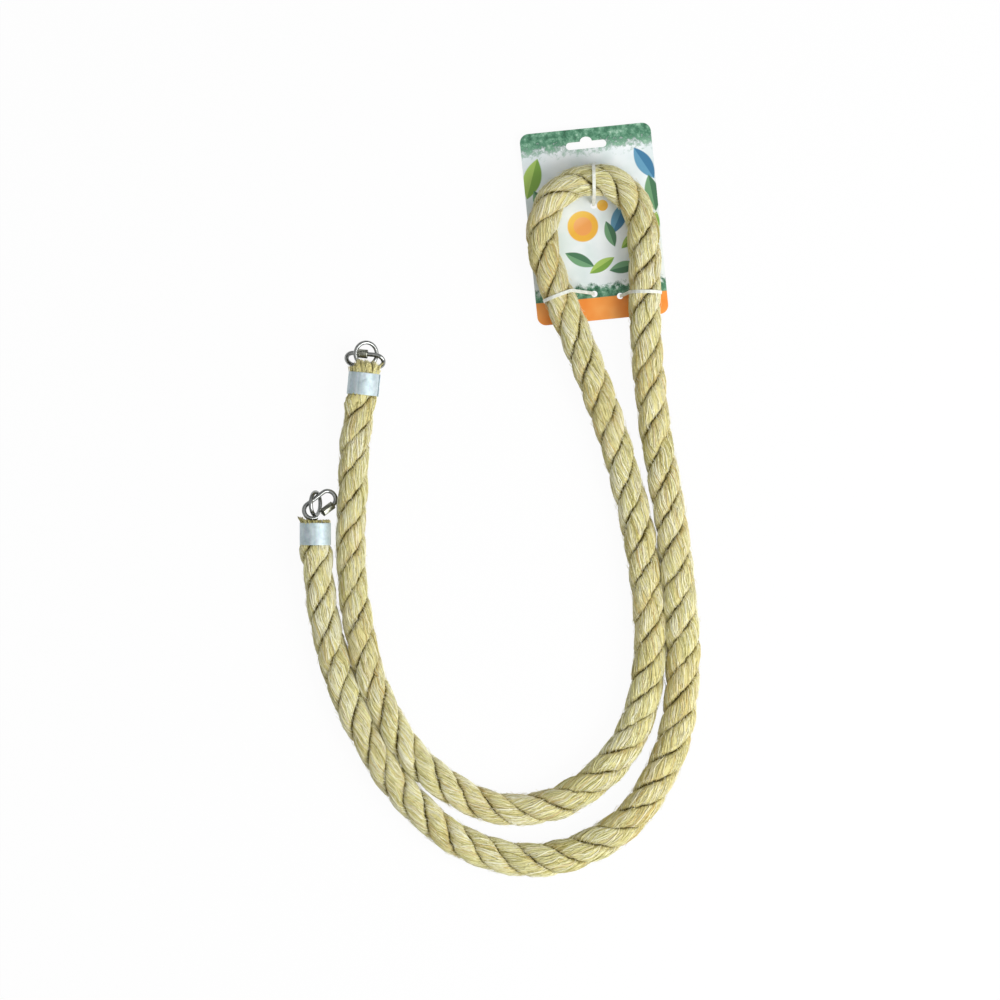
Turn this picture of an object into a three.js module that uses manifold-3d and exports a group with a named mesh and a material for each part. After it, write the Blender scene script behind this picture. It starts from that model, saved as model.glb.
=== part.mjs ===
// Sisal rope perch lying in a loop on a flat surface: a three-strand laid rope with a crimped
// ferrule, a screw eye and a quick link at each end, carried on a hang card by three plastic ties.
// Millimetres, +Z up, origin at the middle of the bottom of the bounding box.
import * as THREE from "three";
import { mergeVertices } from "three/addons/utils/BufferGeometryUtils.js";
import Module from "manifold-3d";

// Driving dimensions
const CLEARANCE = 0.3; // between pieces that touch
const ROPE_RADIUS = 12.2; // over the strands, where the lay is at its usual pitch
const ROPE_LAY = 72; // one full turn of a strand, right-hand lay
const STRANDS = 3;
const STEPS_PER_TURN = 8;
const ROPE_FLAT = 2.4; // a tenth of the rope, pressed flat where it lies on a surface
const GRIP_RADIUS = 11.1; // over the strands, squeezed in the ferrule
const GRIP_RUN = 14; // the rope swells back to full size over this length
const STRAND_CORE = 1; // free middle between the strands
const CROWN = [0.98, 27]; // strand section: share of the radius at degrees from its middle
const FLANK = [0.78, 52];

const END_HEIGHT = 12.6; // rope axis at both ends, over the surface
const FERRULE_LENGTH = 17.4;
const FERRULE_WALL = 0.7;
const FERRULE_LAP = 26; // degrees that the rolled strip overlaps itself
const LAP_RISE = 25; // degrees over which the strip climbs onto itself
const LEAD_IN = 2; // straight rope behind each ferrule
const TUFT_A = 3.4; // rope past the outer edge of the first ferrule
const TUFT_B = 0.5; // and of the second one

const EYE_WIRE = 3.2;
const EYE_RADIUS = 9; // of the ring, to the middle of the wire
const EYE_REACH = 15; // ring centre past the ferrule's outer edge
const SHANK_WIRE = 3;
const SHANK_DEPTH = 28; // shank inside the ferrule's outer edge
const SHANK_POINT = 6;
const SHANK_SLACK = 0.2; // more room round the shank than the clearance

const LINK_WIRE = 3.5;
const LINK_PITCH = 12.5; // between the two straight sides
const LINK_STRAIGHT = 17;
const LINK_STUB = 1.1; // threaded stub past the bend, which the closed nut grips
const LINK_GAP = 4.4; // mouth of the open link
const NUT_LENGTH = 11;
const NUT_FLATS = 6.2;
const NUT_CHAMFER = 0.5;

const CARD_WIDTH = 103.6;
const CARD_HEIGHT = 151.4;
const CARD_CORNER = 7;
const CARD_THICK = 0.6;
const CARD_UNDER = 3.2; // space behind the card for the twisted tie ends
const CARD_TURN = 5.7; // degrees, anticlockwise
const SLOT_WIDTH = 32;
const SLOT_HEIGHT = 5.8;
const SLOT_PEG = 9.5; // raised middle of the slot
const SLOT_PEG_HEIGHT = 3.6;
const SLOT_DROP = 13; // slot below the card's upper edge

const TIE_WIDTH = 2.6;
const TIE_THICK = 0.9;
const TIE_TWIST = 12; // length of the twisted ends
const TWIST_RADIUS = 0.85; // each end winds about the other at this distance from their middle
const TIE_HOLE = 5;
const TIE_TUCK = 0.78; // outer hole, as a share of the hoop's radius
const TIE_BEND = 0.8; // rounding where a tie goes through the card
const TWIST_START = 2.6; // first twist off the line of the tie
const TWIST_HALVES = 3; // half turns of the twisted ends
const TWIST_NARROW = 0.42; // width of a twisted end, as a share of the strip

const COLOURS = { rope: 0xcdbd85, zinc: 0xc3ccd2, steel: 0xb8bab8, card: 0xe8ece6, tie: 0xf2f2ee };

const rad = THREE.MathUtils.degToRad;
const wasm = await Module();
wasm.setup();

// Route of the rope's axis, from the first end to the second
const CARD_TOP = CARD_UNDER + CARD_THICK;
const LIE = ROPE_RADIUS - ROPE_FLAT;
const OVER = CARD_TOP + CLEARANCE + ROPE_RADIUS;
const END_A = new THREE.Vector3(-106.2, 99.7, END_HEIGHT); // outer edge of the first ferrule
const END_B = new THREE.Vector3(-144.4, -17.9, END_HEIGHT);
const HEAD_A = rad(84.3); // outward directions of the two rope ends
const HEAD_B = rad(90);
const outward = (at, head, d) =>
  at.clone().add(new THREE.Vector3(Math.cos(head), Math.sin(head), 0).multiplyScalar(d));
const ROUTE = [
  outward(END_A, HEAD_A, TUFT_A),
  outward(END_A, HEAD_A, -FERRULE_LENGTH / 2),
  outward(END_A, HEAD_A, -FERRULE_LENGTH - LEAD_IN),
  new THREE.Vector3(-113.2, 47, LIE + 1.6),
  new THREE.Vector3(-115.5, 6, LIE),
  new THREE.Vector3(-116.9, -46, LIE),
  new THREE.Vector3(-110.6, -98, LIE),
  new THREE.Vector3(-96.1, -152.1, LIE),
  new THREE.Vector3(-62.7, -206.2, LIE),
  new THREE.Vector3(-8.2, -240.8, LIE),
  new THREE.Vector3(48.2, -236.5, LIE),
  new THREE.Vector3(93.6, -200.5, LIE),
  new THREE.Vector3(114.3, -152, LIE),
  new THREE.Vector3(118, -96, LIE),
  new THREE.Vector3(106.8, -16, LIE),
  new THREE.Vector3(87.6, 55, LIE + 0.8),
  new THREE.Vector3(64.4, 117.6, OVER),
  new THREE.Vector3(45.8, 162.6, OVER),
  new THREE.Vector3(34, 200, OVER),
  new THREE.Vector3(39, 231, OVER),
  new THREE.Vector3(58, 248, OVER),
  new THREE.Vector3(87, 249, OVER),
  new THREE.Vector3(107, 230, OVER),
  new THREE.Vector3(113.5, 198, OVER),
  new THREE.Vector3(114.6, 128, OVER),
  new THREE.Vector3(122, 58, LIE + 0.8),
  new THREE.Vector3(132.5, -2, LIE),
  new THREE.Vector3(140.4, -62, LIE),
  new THREE.Vector3(144.2, -125, LIE),
  new THREE.Vector3(134.9, -194.3, LIE),
  new THREE.Vector3(98.7, -253.8, LIE),
  new THREE.Vector3(36.1, -282.5, LIE),
  new THREE.Vector3(-28, -269.5, LIE),
  new THREE.Vector3(-80.4, -223.9, LIE),
  new THREE.Vector3(-118, -160.6, LIE),
  new THREE.Vector3(-136.3, -101, LIE),
  new THREE.Vector3(-142.2, -58, LIE + 2),
  outward(END_B, HEAD_B, -FERRULE_LENGTH - LEAD_IN),
  outward(END_B, HEAD_B, -FERRULE_LENGTH / 2),
  outward(END_B, HEAD_B, TUFT_B),
];
const route = new THREE.CatmullRomCurve3(ROUTE, false, "catmullrom", 0.5);
route.arcLengthDivisions = 4000;
const ROPE_LENGTH = route.getLength();

// The lay opens in the wide bends, so the rope is thicker there: [distance along it, radius]
const GIRTH = [
  [0, 11.3],
  [290, 11.4],
  [350, 12.2],
  [500, 13],
  [700, ROPE_RADIUS],
  [1140, ROPE_RADIUS],
  [1430, 13.1],
  [1600, 13.1],
  [1720, 12.3],
  [1775, 11.5],
  [ROPE_LENGTH, 11.7],
];

// A closed solid over a row of rings. Each face is split along the diagonal that lies inside it,
// so two strands that wind about each other keep clear between the rings too.
function loft(rings) {
  const n = rings[0].length;
  const points = rings.flat();
  const index = [];
  const a = new THREE.Vector3();
  const b = new THREE.Vector3();
  const c = new THREE.Vector3();
  for (let i = 0; i + 1 < rings.length; i++)
    for (let j = 0; j < n; j++) {
      const p = i * n + j;
      const q = i * n + ((j + 1) % n);
      const r = p + n;
      const s = q + n;
      a.subVectors(points[q], points[p]);
      b.subVectors(points[r], points[p]);
      c.subVectors(points[s], points[p]);
      if (a.cross(b).dot(c) > 0) index.push(p, q, r, q, s, r);
      else index.push(p, q, s, p, s, r);
    }
  const last = (rings.length - 1) * n;
  for (let j = 1; j + 1 < n; j++) index.push(0, j + 1, j, last, last + j, last + j + 1);
  const geometry = new THREE.BufferGeometry();
  geometry.setAttribute(
    "position",
    new THREE.Float32BufferAttribute(points.flatMap((v) => [v.x, v.y, v.z]), 3),
  );
  geometry.setIndex(index);
  return geometry;
}

function solid(geometry) {
  const bare = geometry.clone();
  bare.deleteAttribute("normal");
  bare.deleteAttribute("uv");
  const merged = mergeVertices(bare, 1e-3);
  return new wasm.Manifold(
    new wasm.Mesh({
      numProp: 3,
      vertProperties: new Float32Array(merged.attributes.position.array),
      triVerts: new Uint32Array(merged.index.array),
    }),
  );
}

function geometryOf(manifold) {
  const mesh = manifold.getMesh();
  const geometry = new THREE.BufferGeometry();
  geometry.setAttribute("position", new THREE.BufferAttribute(mesh.vertProperties, 3));
  geometry.setIndex(new THREE.BufferAttribute(mesh.triVerts, 1));
  return geometry;
}

function piece(name, geometry, colour, roughness, metalness) {
  const material = new THREE.MeshStandardMaterial({ color: colour, roughness, metalness });
  const mesh = new THREE.Mesh(geometry, material);
  mesh.name = name;
  return mesh;
}

// Rope: each strand fills a third of the round, drawn in where a ferrule grips it and opened
// in the middle where the shank of an eye goes in.
const smooth = (x) => THREE.MathUtils.smoothstep(x, 0, 1);

function girth(s) {
  const i = GIRTH.findIndex(([at], j) => j > 0 && s <= at + CLEARANCE);
  const [from, thin] = GIRTH[i - 1];
  const [to, thick] = GIRTH[i];
  return thin + (thick - thin) * smooth((s - from) / (to - from));
}

function ropeRadius(s) {
  const toA = s - TUFT_A - FERRULE_LENGTH;
  const toB = ROPE_LENGTH - s - TUFT_B - FERRULE_LENGTH;
  return GRIP_RADIUS + (girth(s) - GRIP_RADIUS) * smooth(Math.min(toA, toB) / GRIP_RUN);
}

function coreRadius(s) {
  const open = SHANK_WIRE / 2 + CLEARANCE + SHANK_SLACK;
  const fromEnd = Math.min(s - TUFT_A, ROPE_LENGTH - s - TUFT_B) - SHANK_DEPTH;
  return open + (STRAND_CORE - open) * smooth(fromEnd / GRIP_RUN);
}

function strandSection(radius, core) {
  const polar = ([share, degrees], sign = 1) =>
    [share * radius * Math.cos(rad(degrees)), sign * share * radius * Math.sin(rad(degrees))];
  return [[core, 0], polar(FLANK, -1), polar(CROWN, -1), [radius, 0], polar(CROWN), polar(FLANK)];
}

function strand(k) {
  const steps = Math.ceil((ROPE_LENGTH / ROPE_LAY) * STEPS_PER_TURN);
  const rings = [];
  const up = new THREE.Vector3(0, 0, 1);
  for (let i = 0; i <= steps; i++) {
    const s = (i / steps) * ROPE_LENGTH;
    const centre = route.getPointAt(i / steps);
    const tangent = route.getTangentAt(i / steps);
    const side = new THREE.Vector3().crossVectors(up, tangent).normalize();
    const over = new THREE.Vector3().crossVectors(tangent, side);
    const turn = 2 * Math.PI * (s / ROPE_LAY + k / STRANDS);
    rings.push(
      strandSection(ropeRadius(s), coreRadius(s)).map(([u, v]) => {
        const x = u * Math.cos(turn) - v * Math.sin(turn);
        const y = u * Math.sin(turn) + v * Math.cos(turn);
        return centre.clone().addScaledVector(side, x).addScaledVector(over, y);
      }),
    );
  }
  const below = new THREE.BoxGeometry(ROPE_LENGTH, ROPE_LENGTH, 2 * ROPE_RADIUS);
  below.translate(0, 0, -ROPE_RADIUS);
  return geometryOf(solid(loft(rings)).subtract(solid(below)));
}

// Ferrule: a strip rolled round the rope end, whose outer edge laps over the inner one.
function ferrule() {
  const inner = GRIP_RADIUS + CLEARANCE;
  const sides = 40;
  const lapped = 360 + FERRULE_LAP;
  const bore = [];
  const skin = [];
  for (let i = 0; i <= sides; i++) {
    const degrees = (i / sides) * lapped;
    const lift = (FERRULE_WALL + CLEARANCE) * smooth((degrees - 360 + LAP_RISE) / LAP_RISE);
    const at = (r) => new THREE.Vector2(r * Math.cos(rad(degrees)), r * Math.sin(rad(degrees)));
    bore.push(at(inner + lift));
    skin.push(at(inner + lift + FERRULE_WALL));
  }
  const strip = new THREE.Shape([...skin, ...bore.reverse()]);
  const geometry = new THREE.ExtrudeGeometry(strip, { depth: FERRULE_LENGTH, bevelEnabled: false });
  return geometry.rotateY(-Math.PI / 2);
}

// Screw eye: a closed wire ring on a pointed shank.
function screwEye() {
  const ring = new THREE.TorusGeometry(EYE_RADIUS, EYE_WIRE / 2, 8, 24).translate(EYE_REACH, 0, 0);
  const neck = EYE_REACH - EYE_RADIUS;
  const half = SHANK_WIRE / 2;
  const profile = [
    new THREE.Vector2(0, -SHANK_DEPTH),
    new THREE.Vector2(half, -SHANK_DEPTH + SHANK_POINT),
    new THREE.Vector2(half, neck),
    new THREE.Vector2(0, neck),
  ];
  const shank = new THREE.LatheGeometry(profile, 12).rotateZ(-Math.PI / 2);
  return geometryOf(solid(ring).add(solid(shank)));
}

// Quick link: a wire bent to a long oval, open at a mouth that the sleeve nut bridges.
const MOUTH_FROM = LINK_STRAIGHT / 2 - LINK_STUB - LINK_GAP;
const NUT_CLOSED = LINK_STRAIGHT / 2 - NUT_LENGTH / 2;

class LinkCurve extends THREE.Curve {
  getPoint(t, target = new THREE.Vector3()) {
    const r = LINK_PITCH / 2;
    const bend = Math.PI * r;
    const long = MOUTH_FROM + LINK_STRAIGHT / 2;
    let d = t * (long + bend + LINK_STRAIGHT + bend + LINK_STUB);
    if (d < long) return target.set(MOUTH_FROM - d, r, 0);
    d -= long;
    if (d < bend) {
      const a = Math.PI / 2 + d / r;
      return target.set(-LINK_STRAIGHT / 2 + r * Math.cos(a), r * Math.sin(a), 0);
    }
    d -= bend;
    if (d < LINK_STRAIGHT) return target.set(-LINK_STRAIGHT / 2 + d, -r, 0);
    d -= LINK_STRAIGHT;
    if (d < bend) {
      const a = -Math.PI / 2 + d / r;
      return target.set(LINK_STRAIGHT / 2 + r * Math.cos(a), r * Math.sin(a), 0);
    }
    return target.set(LINK_STRAIGHT / 2 - (d - bend), r, 0);
  }
}

function quickLink() {
  const wire = new THREE.Shape().absarc(0, 0, LINK_WIRE / 2, 0, 2 * Math.PI, false);
  return new THREE.ExtrudeGeometry(wire, {
    steps: 36,
    curveSegments: 4,
    extrudePath: new LinkCurve(),
  });
}

// Sleeve nut: a hexagon with chamfered ends and a bore over the threaded wire.
function sleeveNut() {
  const corner = NUT_FLATS / 2 / Math.cos(Math.PI / 6);
  const hexagon = new THREE.Shape();
  for (let i = 0; i < 6; i++) {
    const a = (i * Math.PI) / 3;
    if (i) hexagon.lineTo(corner * Math.cos(a), corner * Math.sin(a));
    else hexagon.moveTo(corner, 0);
  }
  hexagon.closePath();
  hexagon.holes.push(new THREE.Path().absarc(0, 0, LINK_WIRE / 2 + CLEARANCE, 0, 2 * Math.PI, true));
  const bar = new THREE.ExtrudeGeometry(hexagon, {
    depth: NUT_LENGTH,
    bevelEnabled: false,
    curveSegments: 8,
  });
  const turned = new THREE.LatheGeometry(
    [
      new THREE.Vector2(0, 0),
      new THREE.Vector2(corner - NUT_CHAMFER, 0),
      new THREE.Vector2(corner, NUT_CHAMFER),
      new THREE.Vector2(corner, NUT_LENGTH - NUT_CHAMFER),
      new THREE.Vector2(corner - NUT_CHAMFER, NUT_LENGTH),
      new THREE.Vector2(0, NUT_LENGTH),
    ],
    18,
  ).rotateX(Math.PI / 2);
  const cut = geometryOf(solid(bar).intersect(solid(turned)));
  return cut.translate(0, 0, -NUT_LENGTH / 2).rotateY(Math.PI / 2);
}

// One rope end: +X runs out of the rope along its axis, +Z is up, and the group sits where the
// axis leaves the ferrule.
function ropeEnd(tag, at, head, lapTurn, eyeRoll, linkAt, linkTurn) {
  const end = new THREE.Group();
  end.position.copy(at);
  end.rotation.z = head;
  const band = piece("ferrule_" + tag, ferrule(), COLOURS.zinc, 0.35, 0.9);
  band.rotation.x = rad(lapTurn);
  const eye = piece("screw_eye_" + tag, screwEye(), COLOURS.steel, 0.25, 1);
  eye.rotation.x = rad(eyeRoll);
  const link = new THREE.Group();
  link.position.set(...linkAt);
  link.rotation.set(...linkTurn.map(rad), "ZYX");
  const nut = piece("sleeve_nut_" + tag, sleeveNut(), COLOURS.steel, 0.3, 1);
  nut.position.set(NUT_CLOSED, LINK_PITCH / 2, 0);
  link.add(piece("quick_link_" + tag, quickLink(), COLOURS.steel, 0.2, 1), nut);
  end.add(band, eye, link);
  return end;
}

// Hang card: rounded board with a hang slot and two holes for each tie.
const cardGroup = new THREE.Group();
cardGroup.position.set(74.5, 217.4, CARD_UNDER); // middle of its back
cardGroup.rotation.z = rad(CARD_TURN);
cardGroup.updateMatrixWorld();

// Each tie crosses the rope at one point of its route. Its outer hole is under the swell of the
// rope, and its inner hole is past the rope's edge by a free run, slipped along the rope.
const TIES = [
  { name: "tie_top", near: [74.2, 246], run: 6, slip: 0 },
  { name: "tie_left", near: [46, 159.5], run: 14, slip: -8 },
  { name: "tie_right", near: [111.2, 163], run: 6, slip: 2 },
];
const HOOP = ROPE_RADIUS + CLEARANCE + TIE_THICK / 2;

function tieFrame({ near, run, slip }) {
  const samples = 2000;
  let share = 0;
  let least = Infinity;
  for (let i = 0; i <= samples; i++) {
    const p = route.getPointAt(i / samples);
    const d = Math.hypot(p.x - near[0], p.y - near[1]);
    if (d < least) [least, share] = [d, i / samples];
  }
  const centre = route.getPointAt(share);
  const along = route.getTangentAt(share).setZ(0).normalize();
  const side = new THREE.Vector3(-along.y, along.x, 0);
  const at = (d, y, z) =>
    new THREE.Vector3(centre.x, centre.y, z).addScaledVector(side, d).addScaledVector(along, y);
  return { at, along, side, outer: TIE_TUCK * HOOP, inner: -HOOP - run, slip, axis: centre.z };
}

function card() {
  const w = CARD_WIDTH / 2;
  const h = CARD_HEIGHT / 2;
  const c = CARD_CORNER;
  const board = new THREE.Shape();
  board.absarc(w - c, h - c, c, 0, Math.PI / 2, false);
  board.absarc(c - w, h - c, c, Math.PI / 2, Math.PI, false);
  board.absarc(c - w, c - h, c, Math.PI, 1.5 * Math.PI, false);
  board.absarc(w - c, c - h, c, 1.5 * Math.PI, 2 * Math.PI, false);
  const slot = new THREE.Path();
  const end = SLOT_HEIGHT / 2;
  const reach = SLOT_WIDTH / 2 - end;
  const peg = SLOT_PEG / 2;
  const bump = SLOT_PEG_HEIGHT;
  const up = h - SLOT_DROP;
  slot.absarc(reach, up, end, -Math.PI / 2, Math.PI / 2, false);
  slot.absellipse(0, up + end, peg, bump, 0, Math.PI, false, 0);
  slot.absarc(-reach, up, end, Math.PI / 2, 1.5 * Math.PI, false);
  board.holes.push(slot);
  for (const spec of TIES) {
    const { at, outer, inner, slip } = tieFrame(spec);
    for (const hole of [at(outer, 0, 0), at(inner, slip, 0)]) {
      const p = cardGroup.worldToLocal(hole);
      board.holes.push(new THREE.Path().absarc(p.x, p.y, TIE_HOLE / 2, 0, 2 * Math.PI, true));
    }
  }
  return new THREE.ExtrudeGeometry(board, {
    depth: CARD_THICK,
    bevelEnabled: false,
    curveSegments: 6,
  });
}

// Tie: a flat plastic strip over the rope and through two holes of the card, its ends twisted
// together behind the card.
function tie(spec) {
  const { at, along, side, outer, inner, slip, axis } = tieFrame(spec);
  const up = new THREE.Vector3(0, 0, 1);
  const path = [];
  const go = (p, across, wide = TIE_WIDTH) => path.push({ p, across, wide });
  const middle = (outer + inner) / 2;
  const backZ = CARD_UNDER - CLEARANCE - TIE_THICK / 2;
  const frontZ = CARD_TOP + CLEARANCE + TIE_THICK / 2;
  const steps = 9;
  const tail = (phase, i) => {
    const a = phase + (i / steps) * TWIST_HALVES * Math.PI;
    const radial = side.clone().multiplyScalar(Math.cos(a)).addScaledVector(up, Math.sin(a));
    const p = at(middle, TWIST_START + (i / steps) * TIE_TWIST, CARD_UNDER / 2);
    go(p.addScaledVector(radial, TWIST_RADIUS), radial, TIE_WIDTH * TWIST_NARROW);
  };
  for (let i = steps; i >= 0; i--) tail(0, i);
  go(at(middle + 2, 1, backZ), side.clone().add(along));
  go(at(middle + 4, 0, backZ), along);
  go(at(outer - 1.2, 0, backZ), along);
  go(at(outer, 0, backZ + TIE_BEND), along);
  const start = -Math.acos(outer / HOOP);
  const reach = Math.hypot(inner, frontZ - axis);
  const leave = Math.atan2(frontZ - axis, inner) + 2 * Math.PI - Math.acos(HOOP / reach);
  const arcs = 12;
  for (let i = 0; i <= arcs; i++) {
    const a = start + ((leave - start) * i) / arcs;
    go(at(HOOP * Math.cos(a), 0, axis + HOOP * Math.sin(a)), along);
  }
  go(at(inner + 1.6, slip * 0.85, frontZ + 0.5), along);
  go(at(inner, slip, frontZ - TIE_BEND), along);
  go(at(inner, slip, backZ + TIE_BEND), along);
  go(at(inner + 1.2, slip * 0.9, backZ), along);
  go(at(middle - 4, 0, backZ), along);
  go(at(middle - 2, 1, backZ), along.clone().sub(side));
  for (let i = 0; i <= steps; i++) tail(Math.PI, i);
  return loft(
    path.map(({ p, across, wide }, i) => {
      const before = path[Math.max(i - 1, 0)].p;
      const after = path[Math.min(i + 1, path.length - 1)].p;
      const travel = after.clone().sub(before).normalize();
      const thick = travel.clone().cross(across).setLength(TIE_THICK / 2);
      const half = thick.clone().cross(travel).setLength(wide / 2);
      const corner = (i, j) => p.clone().addScaledVector(half, i).addScaledVector(thick, j);
      return [corner(-1, -1), corner(1, -1), corner(1, 1), corner(-1, 1)];
    }),
  );
}

const perch = new THREE.Group();
perch.name = "rope_perch";
for (let k = 0; k < STRANDS; k++)
  perch.add(piece("rope_strand_" + (k + 1), strand(k), COLOURS.rope, 0.9, 0));
perch.add(
  ropeEnd("a", END_A, HEAD_A, 120, 25, [10.35, 0.6, -5.05], [137, 7, 90]),
  ropeEnd("b", END_B, HEAD_B, 250, 69, [14.2, -3.5, 1.6], [180, 24, -52.3]),
);
cardGroup.add(piece("hang_card", card(), COLOURS.card, 0.5, 0));
perch.add(cardGroup);
for (const spec of TIES) perch.add(piece(spec.name, tie(spec), COLOURS.tie, 0.4, 0));

export default perch;
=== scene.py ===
import math

import bpy
import numpy as np
from mathutils import Matrix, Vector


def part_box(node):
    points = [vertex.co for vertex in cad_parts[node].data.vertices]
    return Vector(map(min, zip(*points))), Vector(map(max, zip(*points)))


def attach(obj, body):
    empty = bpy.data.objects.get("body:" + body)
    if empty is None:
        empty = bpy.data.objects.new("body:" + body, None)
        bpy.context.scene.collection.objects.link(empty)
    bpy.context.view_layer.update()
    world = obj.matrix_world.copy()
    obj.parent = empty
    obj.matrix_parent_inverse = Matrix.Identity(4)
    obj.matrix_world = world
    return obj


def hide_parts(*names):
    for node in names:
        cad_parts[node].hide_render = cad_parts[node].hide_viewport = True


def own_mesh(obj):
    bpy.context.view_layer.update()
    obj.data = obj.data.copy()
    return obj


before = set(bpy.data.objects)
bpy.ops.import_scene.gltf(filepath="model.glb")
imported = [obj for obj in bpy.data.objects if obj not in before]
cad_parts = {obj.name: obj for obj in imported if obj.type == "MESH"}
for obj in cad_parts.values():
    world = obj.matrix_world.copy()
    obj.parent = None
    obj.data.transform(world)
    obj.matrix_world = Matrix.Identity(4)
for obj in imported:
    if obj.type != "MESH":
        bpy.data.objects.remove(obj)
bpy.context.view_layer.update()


# Rope: three strands of twisted sisal yarn, laid right-handed about each other into a rope of
# 24 mm. It lies doubled on the table, flattened where it presses on it, climbs on to the hang
# card at its bight, and is squeezed in and opened round a steel shank at both ends.
ROPE_RADIUS = 0.0122
ROPE_LAY = 0.072
ROPE_FLAT = 0.0024
STRANDS = 3
STRAND_CORE = 0.001
GRIP_RADIUS = 0.0111
GRIP_RUN = 0.014
SHANK_CORE = 0.002
SHANK_DEPTH = 0.028
FERRULE_LENGTH = 0.0174
FERRULE_LEAD = 0.002
TUFT_A = 0.0034
TUFT_B = 0.0005
CARD_GAP = 0.0003
LIE = ROPE_RADIUS - ROPE_FLAT
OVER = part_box("hang_card")[1].z + CARD_GAP + ROPE_RADIUS
END_A = np.array([-0.1062, 0.0997, 0.0126])
END_B = np.array([-0.1444, -0.0179, 0.0126])
HEAD_A = math.radians(84.3)
HEAD_B = math.radians(90)


def outward(at, head, distance):
    """A place past a rope end, along the way that the end points."""
    return at + distance * np.array([math.cos(head), math.sin(head), 0])


ROUTE = np.array([
    outward(END_A, HEAD_A, TUFT_A),
    outward(END_A, HEAD_A, -FERRULE_LENGTH / 2),
    outward(END_A, HEAD_A, -FERRULE_LENGTH - FERRULE_LEAD),
    (-0.1132, 0.0470, LIE + 0.0016),
    (-0.1155, 0.0060, LIE),
    (-0.1169, -0.0460, LIE),
    (-0.1106, -0.0980, LIE),
    (-0.0961, -0.1521, LIE),
    (-0.0627, -0.2062, LIE),
    (-0.0082, -0.2408, LIE),
    (0.0482, -0.2365, LIE),
    (0.0936, -0.2005, LIE),
    (0.1143, -0.1520, LIE),
    (0.1180, -0.0960, LIE),
    (0.1068, -0.0160, LIE),
    (0.0876, 0.0550, LIE + 0.0008),
    (0.0644, 0.1176, OVER),
    (0.0458, 0.1626, OVER),
    (0.0340, 0.2000, OVER),
    (0.0390, 0.2310, OVER),
    (0.0580, 0.2480, OVER),
    (0.0870, 0.2490, OVER),
    (0.1070, 0.2300, OVER),
    (0.1135, 0.1980, OVER),
    (0.1146, 0.1280, OVER),
    (0.1220, 0.0580, LIE + 0.0008),
    (0.1325, -0.0020, LIE),
    (0.1404, -0.0620, LIE),
    (0.1442, -0.1250, LIE),
    (0.1349, -0.1943, LIE),
    (0.0987, -0.2538, LIE),
    (0.0361, -0.2825, LIE),
    (-0.0280, -0.2695, LIE),
    (-0.0804, -0.2239, LIE),
    (-0.1180, -0.1606, LIE),
    (-0.1363, -0.1010, LIE),
    (-0.1422, -0.0580, LIE + 0.0020),
    outward(END_B, HEAD_B, -FERRULE_LENGTH - FERRULE_LEAD),
    outward(END_B, HEAD_B, -FERRULE_LENGTH / 2),
    outward(END_B, HEAD_B, TUFT_B),
])
CURVE_STEPS = 6000
AXIS_STEPS = 1800


def smooth_line(points, count):
    """Points at even steps along a Catmull-Rom curve through the given ones."""
    spans = len(points) - 1
    t = np.linspace(0, spans, CURVE_STEPS)
    i = np.minimum(t.astype(int), spans - 1)
    w = (t - i)[:, None]
    ends = np.vstack([2 * points[0] - points[1], points, 2 * points[-1] - points[-2]])
    a, b, c, d = ends[i], ends[i + 1], ends[i + 2], ends[i + 3]
    leave = (c - a) / 2
    arrive = (d - b) / 2
    fine = (2 * b - 2 * c + leave + arrive) * w**3
    fine += (-3 * b + 3 * c - 2 * leave - arrive) * w**2 + leave * w + b
    run = np.concatenate([[0], np.cumsum(np.linalg.norm(np.diff(fine, axis=0), axis=1))])
    even = np.linspace(0, run[-1], count)
    return np.stack([np.interp(even, run, fine[:, k]) for k in range(3)], axis=1), even


def soft_step(x):
    """0 up to 0, 1 from 1 on, and a smooth rise between them."""
    x = np.clip(x, 0, 1)
    return x * x * (3 - 2 * x)


axis_points, axis_run = smooth_line(ROUTE, AXIS_STEPS)
ROPE_LENGTH = axis_run[-1]
heading = np.gradient(axis_points, axis=0)
heading /= np.linalg.norm(heading, axis=1)[:, None]
aside = np.cross([0, 0, 1], heading)
aside /= np.linalg.norm(aside, axis=1)[:, None]
upward = np.cross(heading, aside)

# The lay opens in the wide bends, so the rope is thicker there.
GIRTH_AT = np.array([0, 0.29, 0.35, 0.5, 0.7, 1.14, 1.43, 1.6, 1.72, 1.775, ROPE_LENGTH])
GIRTH = np.array(
    [0.0113, 0.0114, 0.0122, 0.013, 0.0122, 0.0122, 0.0131, 0.0131, 0.0123, 0.0115, 0.0117]
)


def rope_radius(s):
    """Radius over the strands at a distance along the rope, squeezed in at the ferrules."""
    i = np.clip(np.searchsorted(GIRTH_AT, s) - 1, 0, len(GIRTH) - 2)
    share = soft_step((s - GIRTH_AT[i]) / (GIRTH_AT[i + 1] - GIRTH_AT[i]))
    free = GIRTH[i] + (GIRTH[i + 1] - GIRTH[i]) * share
    clear = np.minimum(s - TUFT_A, ROPE_LENGTH - s - TUFT_B) - FERRULE_LENGTH
    return GRIP_RADIUS + (free - GRIP_RADIUS) * soft_step(clear / GRIP_RUN)


def core_radius(s):
    """Free middle between the strands, opened where the shank of an eye goes in."""
    clear = np.minimum(s - TUFT_A, ROPE_LENGTH - s - TUFT_B) - SHANK_DEPTH
    return SHANK_CORE + (STRAND_CORE - SHANK_CORE) * soft_step(clear / GRIP_RUN)


# Two stretches of the loop lie against each other, and spread there on the side that touches.
PRESS_AT = np.array([
    0.16, 0.21, 0.32, 0.37, 0.58, 0.63, 0.67, 0.72, 1.27, 1.33, 1.37, 1.42, 1.72, 1.76, 1.87, 1.92
])
PRESS_SHARE = 0.075
PRESS = PRESS_SHARE * np.array([0, 1, 1, 0] * 4)
TABLE_ROUND = 0.0006


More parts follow.
